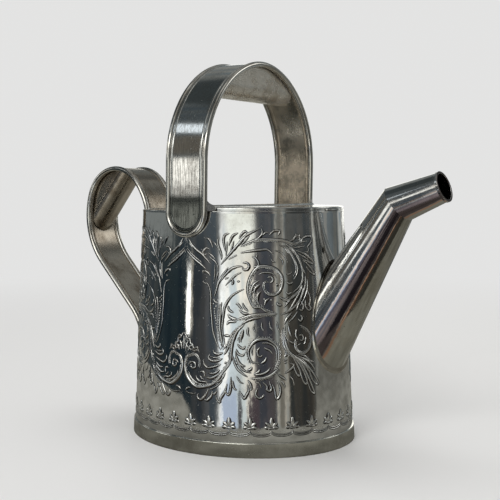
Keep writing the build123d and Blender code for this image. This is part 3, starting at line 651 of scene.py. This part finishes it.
class Relief:
    """Collects raised strokes and beads on the wall into one mesh."""

    def __init__(self):
        self.points, self.faces, self.crest, self.count = [], [], [], 0

    def keep(self, points, faces, crest):
        """Add points, the faces between them and their brightness."""
        self.points.append(points.reshape(-1, 3))
        self.faces += [[self.count + i for i in face] for face in faces]
        self.crest.append(np.asarray(crest, float).ravel())
        self.count += len(self.points[-1])

    def stroke(self, points, width, height, tip=0.18, far=False):
        """Tapered ridge along a curve of (along, height) points, with a strip of painted shade for the
        cut at each side.
        """
        line = smooth_line(points)
        side = directions(line)[1]
        n = len(line)
        swell = tip + (1 - tip) * np.sin(np.pi * np.linspace(0, 1, n)) ** SWELL_POWER
        half = 0.5 * width * swell
        # Width of the strip of painted shade beside the ridge, wider on the side away from the light
        cut = SHADE_STRIP_WIDTH * min(1, width / MAIN) * (swell + SHADE_STRIP_AT_TIP)
        shade = side @ np.array(SHADE_WAY)
        left, right = (cut * (SHADE_STRIP_LIT + (1 - SHADE_STRIP_LIT) * np.maximum(s * shade, 0)) for s in (-1, 1))
        ridge = [place * half for place in RIDGE_PLACES]
        offsets = np.stack([-half - left, *ridge, half + right], -1)
        lifts = np.array(RIDGE_LIFTS)
        flat = line[:, None, :] + side[:, None, :] * offsets[..., None]
        rise = height * (TIP_RISE + (1 - TIP_RISE) * swell)
        lift = np.where(np.abs(lifts) < 0.1, lifts + EDGE_LIFT, lifts * rise[:, None])
        world = on_wall(flat[..., 0], flat[..., 1], lift, far)
        rows = offsets.shape[1]
        faces = []
        for i in range(n - 1):
            for first in range(i * rows, i * rows + rows - 1):
                quad = [first, first + rows, first + rows + 1, first + 1]
                faces.append(quad[::-1] if far else quad)
        self.keep(world, faces, np.tile(np.array(RIDGE_CREST), n))

    def bead(self, at, radius, height, far=False):
        """Small dome on the wall, with a ring of painted shade round its foot."""
        spots, lifts, crest, faces = [at], [height], [1.0], []
        around = BEAD_AROUND
        for ring, (share, rise, level) in enumerate(BEAD_RINGS):
            reach, first = radius * share, 1 + ring * around
            for k in range(around):
                angle = 2 * math.pi * k / around
                spots.append((at[0] + reach * math.cos(angle), at[1] + reach * math.sin(angle)))
                lifts.append(height * rise)
                crest.append(level)
                here, after = first + k, first + (k + 1) % around
                faces.append([here - around, here, after, after - around] if ring else [0, here, after])
        world = on_wall(*np.array(spots).T, np.array(lifts), far)
        self.keep(world, [face[::-1] for face in faces] if far else faces, crest)

    def build(self, name):
        """Mesh object of all that was collected, riding on the pot."""
        mesh = bpy.data.meshes.new(name)
        mesh.from_pydata(np.concatenate(self.points).tolist(), [], self.faces)
        crest = mesh.attributes.new("crest", "FLOAT", "POINT")
        crest.data.foreach_set("value", np.concatenate(self.crest).astype(np.float32))
        mesh.shade_smooth()
        mesh.materials.append(ENGRAVED)
        piece = placed(name, mesh)
        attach(piece, "pot")


# Engraved ornament, right half of one side, in mm: width, and places (along, height) of a curve
# or of beads. The curves follow the photograph.
CARTOUCHE = [
    (MAIN, (0.8, 97), (5, 93.4), (9.6, 90.4), (12.5, 88.3)),
    (FINE, (1.2, 97.9), (5.2, 94.6), (10, 91.4)),
    (MAIN, (2.2, 102.5), (4.4, 99.4), (7.4, 96.9), (10, 95.3), (12.6, 93), (15, 90.8)),
    (FINE, (2.5, 100.6), (5, 98)),
    (MAIN, (10.6, 86.2), (11, 87.3), (12.5, 87.1), (14.2, 86), (15, 84.6)),
    (FINE, (12.4, 84.2), (13.3, 84.2)),
    (MAIN, (10.8, 82.3), (11.9, 81.7), (13.4, 81.2), (14.5, 79.4), (15, 77.5), (15.2, 74.5), (15.2, 70),
        (15.7, 65.2), (16.2, 60), (17.5, 55.8), (19, 52.4), (20.6, 50.2)),
    (BOLD, (20.8, 72.8), (20.2, 69.9), (19.9, 65), (19.7, 62), (20, 59), (20.8, 54.8), (22, 51.4)),
    (MAIN, (31.8, 79.2), (29.3, 78.2), (26.4, 76.5), (24.5, 74.6), (22.9, 72.1), (22, 69.6), (21.3, 65),
        (21, 61), (21.3, 58), (22, 55.2), (22.5, 52.7)),
    (FINE, (16.4, 74.2), (17.5, 73), (19, 72.3)),
    (MAIN, (17, 75.3), (17.8, 77.8), (19, 81.7), (21, 85.1), (24, 89.2)),
    (FINE, (16.6, 82), (17.2, 86), (17.2, 90)), (FINE, (18, 83.4), (18.9, 87)),
]
CARTOUCHE_BEADS = [
    (16.7, 72), (18, 70.8), (17.2, 69.7), (17.2, 68.5), (17.4, 67.4), (17.5, 66.2), (17.7, 65.2),
    (18, 64.1), (18.2, 62.6), (18.5, 61.1), (18.9, 59.6), (19.3, 58.2),
]
UPPER_LEAVES = [
    (MAIN, (14.2, 97.7), (12.3, 98.1), (10.7, 96.4), (11.3, 94.9), (12.9, 95.4)),
    (FINE, (13.4, 95.9), (15.5, 94.8), (17.8, 92.7)),
    (FINE, (14.2, 94), (17.3, 91.9), (18.7, 89.7), (18.8, 87.2)),
    (MAIN, (12.3, 102.3), (13.4, 102.6), (15, 100.8), (16.2, 98.2)),
    (FINE, (16.2, 101.2), (18.1, 99.3), (19.4, 96.9)),
    (MAIN, (20.2, 90.4), (24.4, 95.2), (29, 100.2), (32.5, 104), (39.8, 107.8)),
    (MAIN, (39.8, 107.8), (40.6, 106.2), (40.3, 104.7), (38, 102.6), (35, 101.6)),
    (MAIN, (36.2, 106.4), (33.6, 105.2), (32.3, 106.2), (30.4, 104.6), (29.2, 102.6)),
    (FINE, (32.8, 104), (31, 102.2), (29.4, 99.8)),
    (MAIN, (29, 105.4), (26.6, 104.4), (25.3, 102.6), (24.2, 99.2)),
    (MAIN, (24.7, 105.1), (22.5, 104.6), (21.5, 102.6), (21.9, 99.6), (22.6, 96.6)),
    (MAIN, (19.3, 103.3), (18.6, 101.6), (19, 99), (20.4, 95.4), (20.6, 92.6)),
    (FINE, (26.8, 101.8), (25.8, 98.6), (25.2, 96.2)),
    (FINE, (34.6, 104.2), (32.2, 101.6), (30.2, 99.8)), (FINE, (23.4, 101.4), (23.2, 98), (22.8, 94.4)),
    (MAIN, (20.1, 82.7), (22.3, 85.6), (25.3, 88.5), (28.5, 89.7), (31, 89.8)),
    (MAIN, (31, 91.4), (33.2, 91.5), (34.1, 89.9), (33, 88.3), (31.3, 88.5), (31, 89.8)),
    (FINE, (22.6, 83.3), (22.8, 84), (24.3, 84.5)), (MAIN, (25.5, 84.3), (26.3, 82.5), (25.7, 80.9)),
    (FINE, (28.2, 82.8), (29.8, 82.8)), (FINE, (22.6, 80.6), (24.6, 82.8), (27.6, 85.6), (30.6, 87)),
    (MAIN, (30.9, 72.8), (31.7, 70.8), (33.8, 68.7)), (MAIN, (29.3, 69.6), (31.3, 68), (34, 67.7)),
    (MAIN, (27.6, 72.1), (28.7, 72.2), (29.4, 71.3), (31, 69.6)),
    (MAIN, (24.1, 71.3), (24.3, 69.5), (26.8, 68)), (BOLD, (23.7, 67.4), (25.5, 65.7), (28.5, 65)),
    (MAIN, (23.3, 62.2), (24.2, 63.7), (25.4, 64), (28, 63.6)),
    (MAIN, (22, 57.3), (23, 57.3), (25, 57.2)),
]
UPPER_BEADS = [
    (24.5, 93.2), (25.1, 93.5), (25.7, 93.7), (26.3, 94), (26.8, 94.3), (27.4, 94.5), (27.9, 94.8),
]
C_SCROLL = [
    (BOLD, (30, 99), (33, 100.6), (38, 102.2), (44, 102.2), (50, 102), (53, 101.3), (56.4, 100.2),
        (59.6, 101.2), (59.4, 102.8), (57.6, 103.2)),
    (MAIN, (51, 99.5), (55, 97), (59, 93), (60.5, 88.3), (60.2, 84.6)),
    (MAIN, (30, 96.1), (34.5, 96.9), (41, 97.7), (43.5, 97.4), (45.2, 95.9), (46, 94.8)),
    (MAIN, (48.8, 99.7), (51.5, 98.6), (53.7, 96.8), (56, 93.5), (57.8, 89.6), (57.6, 86.2),
        (55.7, 83.4)),
    (MAIN, (49, 67.4), (51.5, 68), (54, 70.2), (57, 74.7), (59.5, 78.8), (60, 80.9)),
    (MAIN, (56.8, 69.1), (58.5, 72.8), (60, 76.2), (61, 79.3)),
    (FINE, (37.8, 96.1), (38, 94.9), (37, 93.6)),
    (MAIN, (35.5, 94.5), (37.5, 93.4), (38.6, 91.4), (38.3, 89.8), (36, 89.8)),
    (FINE, (44.5, 93.4), (45.4, 92.2), (47, 91.6)), (FINE, (48.6, 94.2), (50.2, 92.4), (50.4, 90.2)),
    (FINE, (46.6, 97.2), (49.4, 96.4), (51.6, 94.2), (53, 91.4)),
    (MAIN, (53.9, 101.5), (55.9, 102.2), (57.2, 103.8), (58.8, 104), (59.6, 102.8), (58.8, 101.7)),
    (MAIN, (60.1, 100.3), (61, 102.5), (63, 103.6), (65.2, 103.6), (66.1, 102.6), (65.5, 100.9),
        (63.6, 98.6), (64.3, 97.4), (63.5, 96.2), (61.7, 96.4)),
    (FINE, (55, 99.6), (58.6, 100.6), (62, 101.2), (63.6, 101.4)),
    (FINE, (56, 98.4), (59.4, 98.6), (62, 99)),
    (MAIN, (56.5, 97.4), (61, 95.7), (63.6, 94.1), (66.8, 91.5), (66.2, 90.6), (63, 91.9), (60.4, 93.3)),
    (FINE, (58, 95.8), (61.4, 94), (64.4, 92.2)),
    (MAIN, (60.6, 92.6), (62.8, 91), (65.4, 88.4), (67.3, 85.6), (65, 86.6), (62.4, 89.4)),
    (MAIN, (52, 100.3), (55.9, 97), (58.5, 93.2), (60.6, 88.6), (62.2, 85.7)),
    (FINE, (50.7, 99), (54.6, 95.1), (56.6, 91.2), (57, 87.4), (55.4, 84.8)),
    (MAIN, (59.6, 90), (60.6, 86.4), (60.2, 82.6), (58.2, 79.6), (55.2, 77.4)),
    (MAIN, (62, 84.8), (61.8, 80.9), (59.9, 75.7), (57.2, 71.9), (53.3, 68.8), (49, 67)),
    (FINE, (62.9, 83.4), (63, 79.6), (61.6, 75.2), (59, 71.2)),
    (MAIN, (62.6, 78.4), (63.8, 76.4), (64.3, 73.6), (63.7, 71.2), (64.5, 69.3), (63.2, 68.8),
        (61.8, 70.4), (61.6, 73.4)),
    (MAIN, (59.6, 73), (60.6, 70.6), (59.6, 68.8), (58.2, 69.6)),
    (FINE, (56.4, 76), (53.6, 74.4), (51.2, 71.4)),
    (FINE, (58, 78), (55, 75.6), (52.6, 72.6), (50.2, 70)),
    (MAIN, (44, 104.4), (46.4, 106.4), (49.2, 106.2), (48.2, 104.2)),
    (FINE, (40.8, 104.2), (42.2, 105.6), (43.8, 105.4)),
]
C_SCROLL_BEADS = [
    (52, 97.5), (52.5, 97), (52.9, 96.5), (53.3, 96),
]
SPIRAL_A = [
    (BOLD, (47.5, 67.5), (45, 67.8), (42, 68.8), (39.5, 70.6), (36.3, 70.9), (34.6, 73.8), (33.4, 77.8),
        (33.7, 82), (35, 85.4), (37, 88.3), (39.3, 89.8), (42, 89.8), (46, 89), (48.5, 87.2), (50, 84.7),
        (50, 81.4), (48.8, 78.4), (46.5, 76.6), (44, 76.4), (41.8, 77.8), (40.6, 80.1), (41, 82.2),
        (42.5, 83.2)),
    (FINE, (38.5, 86), (40.5, 86.8), (44, 86.8), (46.3, 85.8), (47.5, 84)),
    (MAIN, (43, 84.6), (44.4, 85), (45.5, 84), (45.2, 82.8), (44, 82.2)),
    (MAIN, (46.8, 80.8), (48, 81.6)),
    (BOLD, (38.9, 83.3), (36.6, 81.7), (35.2, 79), (35, 76.2), (36, 74.3)),
    (BOLD, (39.3, 81.5), (37, 79.6), (36.5, 77)),
    (BOLD, (39.8, 78.3), (38.3, 76.7), (37.9, 73.9), (38.7, 72)),
    (MAIN, (43.6, 74.9), (42, 73.8), (41.2, 71.6)), (MAIN, (47, 73.2), (48, 71.8), (50, 71.8)),
    (MAIN, (51.6, 77.8), (53, 76.8), (54.8, 77.5)), (MAIN, (48.6, 75.3), (51, 74.3), (53, 75.1)),
    (MAIN, (49.7, 73.8), (53, 74), (57.5, 77), (60, 80.6)),
    (MAIN, (51.8, 82.6), (53.6, 81.6), (55.4, 82.2)), (FINE, (51.9, 86.2), (53.5, 86), (55, 87)),
    (BOLD, (28, 64.7), (34, 66.7), (39, 67.3), (47, 67.4)),
    (MAIN, (30.5, 62.8), (33, 64.4), (36, 65.5), (40, 66)), (MAIN, (50.5, 62.5), (52, 65.4), (54.5, 68)),
    (MAIN, (57.5, 65), (58.8, 63.8), (59.8, 65.2), (58.8, 66.6)),
    (FINE, (52.6, 63.4), (55.2, 65.6), (57.6, 68.6)),
]
SPIRAL_A_BEADS = [
    (37.1, 72.3), (38, 71.4), (38.9, 70.8), (41.3, 74.5), (44.5, 74.1), (45.4, 83.4),
]
STEMS = [
    (BOLD, (32, 63), (28.5, 59.7), (27, 56.9), (25.8, 53), (25.4, 49.3), (25.2, 46), (24, 42.3)),
    (MAIN, (26.5, 57.5), (25, 54.7), (23.4, 50.7), (22, 48)),
    (FINE, (21.3, 50.3), (23, 52.2), (24.3, 54.7), (26.2, 58.6), (29.4, 61.8)),
    (BOLD, (31.2, 60.3), (30.4, 57.5), (29.8, 55.4), (30.4, 54.2)),
    (MAIN, (28.5, 53.5), (29.3, 52.4), (31, 51.5), (32.3, 52.6)),
    (MAIN, (27.8, 51.1), (28.8, 48.9), (30.7, 48.2), (31.9, 49)),
    (BOLD, (27.7, 48.5), (28.5, 45.9), (30, 43.8), (32.3, 43)),
    (MAIN, (33, 41.3), (34.6, 41.8), (35, 43)),
    (MAIN, (26, 48.3), (26.8, 45.1), (28.3, 42), (31, 39.5), (33.3, 38)),
    (MAIN, (27.5, 50), (28.2, 46.5), (30, 42.5), (32.3, 40.8), (35, 40)),
    (MAIN, (33.6, 61.4), (33.2, 58.8), (34.2, 57)), (FINE, (36.6, 63.2), (36.2, 60.6), (37.4, 58.8)),
    (FINE, (40, 63.8), (39.8, 61.4), (41, 59.4)), (FINE, (43.6, 64.2), (43.8, 61.6), (45.2, 59.6)),
    (FINE, (47, 64.2), (47.4, 61.4), (48.6, 58.6)),
]
SPIRAL_B = [
    (BOLD, (45.2, 41), (46.3, 43), (47.5, 46), (47.7, 49.4), (47, 52.5), (44, 55.1), (41.5, 55.9),
        (37.5, 55.4), (35.3, 53.6), (33.7, 51), (33.7, 48.3), (34.5, 46.2), (35.8, 45), (38.5, 44.8)),
    (MAIN, (40, 54), (43, 53.9), (45.5, 52.5), (46.5, 50.5), (46.7, 47), (46, 43.5)),
    (MAIN, (41, 51.7), (43.5, 50.6), (44.8, 48.8)),
    (MAIN, (38.9, 52.1), (37.7, 50.4), (38, 48.4), (39.2, 47.6), (40, 48.4)),
    (MAIN, (41.8, 47.4), (41.3, 45.9), (39.3, 44.4)), (MAIN, (38.8, 41.8), (38, 40.5), (36, 39.6)),
    (MAIN, (43.8, 42.5), (42.3, 40.8), (40, 39.6), (36, 39)),
    (BOLD, (34.5, 37.5), (38, 37.4), (41.5, 37.8), (44.5, 39.3), (47.5, 42)),
    (FINE, (36, 52.6), (35.2, 50.4), (35.6, 48)),
]
SPIRAL_C = [
    (MAIN, (56.6, 60), (56.2, 57.4), (57.2, 54.9)),
    (BOLD, (58.2, 61.8), (60, 61.1), (62.5, 59.4), (63.9, 57.2), (64.3, 54.5), (63.5, 51.4),
        (61.5, 49.2), (59.5, 48.5), (57, 49.6), (55.6, 52.4), (56, 55.2)),
    (MAIN, (57.8, 57), (59.4, 57.2), (60.2, 55.8), (59.2, 54.6), (58.2, 55)),
    (FINE, (57.3, 52.5), (58.5, 53.2)), (FINE, (60.2, 52.7), (61, 53.8), (61.4, 56)),
    (MAIN, (50.8, 62), (50.5, 58), (51, 55), (52, 51.4), (53.5, 49)),
    (BOLD, (50, 61), (50, 56.7), (50.6, 52.5), (52.3, 49.7), (55.5, 46.9), (59.5, 44), (64, 40)),
    (MAIN, (52.5, 62), (53, 59.4), (54, 56.4)), (MAIN, (52.8, 54.8), (54.5, 53.8), (56, 54.3)),
    (MAIN, (52, 49.9), (54.6, 46.8), (57, 42.4), (58.3, 38.8), (57, 38), (55.6, 40.4), (54.4, 44)),
    (MAIN, (53.4, 49), (57, 45), (59.8, 40), (61.6, 35), (60.6, 33.8), (59, 36.4), (58.2, 40)),
    (MAIN, (54, 48.4), (58.6, 44), (62, 37.6), (64.4, 32), (65.5, 28.9), (63.4, 30.4), (61.8, 34.6)),
    (MAIN, (55, 48), (60, 44.5), (64.3, 39.6), (67.5, 34.4), (66.6, 33.2), (64.4, 35.6), (62.8, 38.6)),
    (MAIN, (56, 48), (60.5, 45.6), (63.6, 43.6), (65.9, 40.2), (64.6, 39.8)),
    (MAIN, (57, 48.2), (60.5, 47.2), (63.6, 44.7), (65.6, 44)),
    (FINE, (55.4, 46.4), (58.6, 42), (60.6, 37.6)), (FINE, (57.6, 46.2), (61.6, 41.6), (64.6, 36)),
    (FINE, (59.6, 46.6), (62.6, 44.8), (65, 42)), (MAIN, (50.5, 49.3), (51.2, 48.3), (50.3, 47.4)),
    (FINE, (49.6, 45.6), (52, 46)), (FINE, (50.1, 44.4), (51.7, 44.8)),
    (MAIN, (52.5, 44.4), (54.9, 43.2), (53, 41.2), (50.3, 39.5)),
    (MAIN, (47, 39.3), (50, 37.2), (51, 36.2)), (FINE, (48.7, 36.2), (50.2, 33.8), (50.3, 32.6)),
    (FINE, (52.6, 38.2), (54.4, 36), (54.8, 33.4)),
]
SPIRAL_C_BEADS = [
    (50.9, 59.2), (50.9, 58), (51.3, 57), (51.6, 56), (52.2, 55.2),
]
BOTTOM = [
    (BOLD, (24.9, 46), (23.8, 43), (21.5, 39.9), (19, 36.4), (16, 33.8), (12.5, 32.6), (8.5, 32.1),
        (5.5, 33.6), (3, 36.2), (1.7, 39.1), (1.2, 42.5), (2.2, 45.6), (4.5, 47.2), (6.8, 47.8),
        (9, 46.5), (10, 43.5), (9.7, 41.2)),
    (MAIN, (3.6, 42.4), (4.7, 43.5), (6, 43.9), (7.2, 43), (7.2, 41.4), (5.9, 40.8), (4.9, 41.6),
        (5.3, 42.6)),
    (MAIN, (3.7, 39), (4.6, 36.7), (6.5, 34.9), (9, 33.8), (12, 33.6)),
    (MAIN, (7.9, 37.5), (8.2, 36.2), (9.8, 35), (12, 34.9), (13.8, 34.6)),
    (MAIN, (10, 39.3), (11.2, 39.7), (12.3, 38.7), (12.1, 37)),
    (FINE, (10.1, 37.5), (10.9, 36.3), (12, 36.2)), (MAIN, (14, 39.2), (17, 39.1), (20, 41)),
    (MAIN, (12.8, 37.1), (15.5, 36.8), (18, 38), (20, 39.6)),
    (MAIN, (16.8, 50.3), (17.2, 48.9), (19, 48.3), (21.6, 49.2)),
    (MAIN, (14.9, 48), (14.2, 46.5), (15, 45.5), (16.4, 45), (19, 45.3), (21.4, 46.4)),
    (MAIN, (11.8, 45.3), (11.7, 44), (12.5, 42.6), (14, 41.7), (17.2, 42.4), (20.6, 43.6)),
    (FINE, (15, 47.2), (17, 46.7), (20, 46.9)), (FINE, (22.3, 43.8), (23, 45)),
    (MAIN, (0.5, 57.6), (1.5, 56.5), (2.6, 54.8), (4, 54.5), (4.4, 52.6), (5.5, 52), (6.4, 50.4),
        (8.3, 51), (8.7, 50), (9.5, 48.5)),
    (FINE, (0.8, 53.4), (2.4, 51.2), (4.8, 49.6), (7.4, 49.2)),
    (MAIN, (0.6, 49.6), (0.5, 52.6), (0.6, 55.6)), (MAIN, (1.7, 49.4), (2, 51.6), (3.1, 53.6)),
    (MAIN, (3.2, 48.8), (3.9, 50.8), (5.3, 51.5), (6, 50.6), (5.2, 49.7)),
    (FINE, (1.6, 55.4), (3, 56.2), (3.9, 55.2)), (FINE, (6.4, 48.4), (7.6, 49.6), (8.6, 49.2)),
    (MAIN, (1.9, 30), (3.3, 31.2), (5, 31.5)), (FINE, (2, 29.3), (5, 28.7), (8, 28.8)),
    (MAIN, (9.3, 29.1), (8.6, 27.5), (9.9, 26.2), (11.5, 26.9), (13, 28.8), (14.4, 31.6)),
    (MAIN, (12.5, 26.6), (13.5, 26), (15, 27.3), (15.8, 28.5), (16.4, 30.7)),
    (FINE, (16.6, 29.8), (17.3, 29.2), (18.6, 31)),
    (MAIN, (18.3, 28.6), (18.6, 27), (20, 25.5), (20.3, 27.5), (22.3, 30.7), (23.6, 34.6)),
    (MAIN, (22.5, 32), (23.3, 29.9), (24.2, 29.5), (24.9, 31.2), (25.3, 34), (25.4, 38)),
    (MAIN, (26.3, 36.2), (26.3, 34.3), (27, 32.5), (28.3, 31.8)),
    (MAIN, (29.3, 31.5), (30.5, 29.4), (31.5, 28), (32.5, 29.6), (33.5, 31.7), (33, 34.6)),
    (MAIN, (33.2, 36.7), (34.4, 34.9), (34.8, 32.5), (33.9, 31.8)),
    (MAIN, (40, 35.9), (42, 33.8), (42, 32.1), (43.5, 31.6), (44, 33), (43, 36)),
    (MAIN, (44.5, 34.6), (45.5, 31.7), (46, 28.3), (46.8, 27.8), (48, 30.1), (48, 33.4), (46.4, 36.6)),
    (MAIN, (40.5, 29.9), (39.8, 28.8), (38.3, 28.2), (36.8, 30), (37.6, 33)),
    (FINE, (16, 35.6), (18.6, 35), (21, 36.8), (22.8, 39.8)),
    (FINE, (28, 38.4), (29.4, 36), (31.4, 34.8)),
    (FINE, (13.6, 31.2), (16, 31.8), (19, 33.6), (21.4, 36)),
    (FINE, (36.4, 36), (38.6, 35), (39.4, 32.8)),
]
# Middle line of a side, along the wall in mm
MIDDLE = 0.5
ALL_STROKES = CARTOUCHE + UPPER_LEAVES + C_SCROLL + SPIRAL_A + STEMS + SPIRAL_B + SPIRAL_C + BOTTOM
ALL_BEADS = CARTOUCHE_BEADS + UPPER_BEADS + C_SCROLL_BEADS + SPIRAL_A_BEADS + SPIRAL_C_BEADS
# Heights of strokes, radius and height of beads, in mm
BOLD_HEIGHT, THIN_HEIGHT = 0.4, 0.32
BEAD_RADIUS, BEAD_HEIGHT = 0.5, 0.36
# Shade lines beside bold strokes, in mm and radians
SHADE_SPACING, SHADE_LENGTH, SHADE_LEAN, SHADE_STEP, SHADE_START = 1.3, 2, 1.05, 0.5, 0.45
SHADE_VARIES, SHADE_TURN, SHADE_BEND = 0.25, 2.4, 0.12
SHADE_WIDTH, SHADE_HEIGHT, SHADE_TIP = 0.36, 0.12, 0.3


def shade_lines(relief, points, flip, far):
    """Short cut lines beside a long stroke, as an engraver shades a scroll."""
    line = smooth_line(points, SHADE_STEP)
    way, left = directions(line)
    side = left * flip
    step = max(1, int(SHADE_SPACING / SHADE_STEP))
    for i in range(step, len(line) - step, step):
        start = line[i] + side[i] * SHADE_START
        reach = SHADE_LENGTH * (1 - SHADE_VARIES + SHADE_VARIES * math.sin(SHADE_TURN * i))
        end = start + (side[i] * math.cos(SHADE_LEAN) + way[i] * math.sin(SHADE_LEAN)) * reach
        bend = (start + end) / 2 + way[i] * SHADE_BEND * reach
        relief.stroke([start, bend, end], SHADE_WIDTH, SHADE_HEIGHT, SHADE_TIP, far)


def ornament(name, far):
    """Scroll ornament of one side: the traced half and its mirror image."""
    relief = Relief()
    for flipped in (False, True):
        def place(point):
            return (2 * MIDDLE - point[0], point[1]) if flipped else point

        for width, *points in ALL_STROKES:
            line = [place(p) for p in points]
            relief.stroke(line, width, BOLD_HEIGHT if width == BOLD else THIN_HEIGHT, far=far)
            if width == BOLD:
                shade_lines(relief, line, 1 if flipped else -1, far)
        for spot in ALL_BEADS:
            relief.bead(place(spot), BEAD_RADIUS, BEAD_HEIGHT, far)
    relief.build(name)


# Frieze of palmettes over a scalloped line, round the foot of the wall, in mm
PALMETTES = 34
PALMETTE_START = 4.9
# Strokes of a palmette: width, height, tip and curve
PALMETTE = [(2, 0.42, 0.1, [(0, 14.5), (0, 16.4), (0, 18.9)])]
for way in (-1, 1):
    PALMETTE.append((1.5, 0.36, 0.1, [(0.3 * way, 14.5), (1.5 * way, 15.7), (2.8 * way, 16.6)]))
    PALMETTE.append((1.2, 0.3, 0.1, [(0.5 * way, 14.2), (1.9 * way, 14.4), (3.4 * way, 14.1)]))
PALMETTE.append((0.6, 0.2, 0.3, [(-1.6, 13.6), (0, 13.9), (1.6, 13.6)]))
# Scallops: height of the line's ends, sag, roundness and drops of the two lines
SCALLOP_HEIGHT, SCALLOP_SAG, SCALLOP_ROUND, SCALLOP_DROPS = 13, 1.9, 0.8, (0, 0.9)
SCALLOP_POINTS = 9
SCALLOP_STROKE = (0.42, 0.16, 0.5)
# Three beads over each scallop: places, height on the wall, radius and height
FRIEZE_BEADS, FRIEZE_BEAD_AT, FRIEZE_BEAD = (-1.1, 0, 1.1), 12.3, (0.28, 0.16)


def moved(at, points):
    """Points moved along to a place on the wall, wrapped where its two ends meet."""
    first = ARC_LENGTH[0]
    spots = [((at + s - first) % ROUND + first, z) for s, z in points]
    jump = any(abs(p[0] - q[0]) > ROUND / 2 for p, q in zip(spots, spots[1:]))
    return [(s - ROUND, z) if jump and s > 0 else (s, z) for s, z in spots]


def frieze():
    """Palmettes, scallops and small beads, evenly spaced round the wall."""
    relief = Relief()
    pitch = ROUND / PALMETTES
    half = pitch / 2
    first = ARC_LENGTH[0]
    shift = (PALMETTE_START - first) % pitch
    for k in range(PALMETTES):
        at = first + shift + k * pitch
        for width, height, tip, points in PALMETTE:
            relief.stroke(moved(at, points), width, height, tip)
        for drop in SCALLOP_DROPS:
            line = []
            for turn in math.pi * np.linspace(0, 1, SCALLOP_POINTS):
                sag = SCALLOP_SAG * math.sin(turn) ** SCALLOP_ROUND
                line.append((half - half * math.cos(turn), SCALLOP_HEIGHT - drop - sag))
            relief.stroke(moved(at, line), *SCALLOP_STROKE)
        for way in FRIEZE_BEADS:
            relief.bead(moved(at, [(half + way, FRIEZE_BEAD_AT)])[0], *FRIEZE_BEAD)
    relief.build("frieze")


ornament("ornament_near", False)
ornament("ornament_far", True)
frieze()

scene.view_settings.view_transform = "Standard"
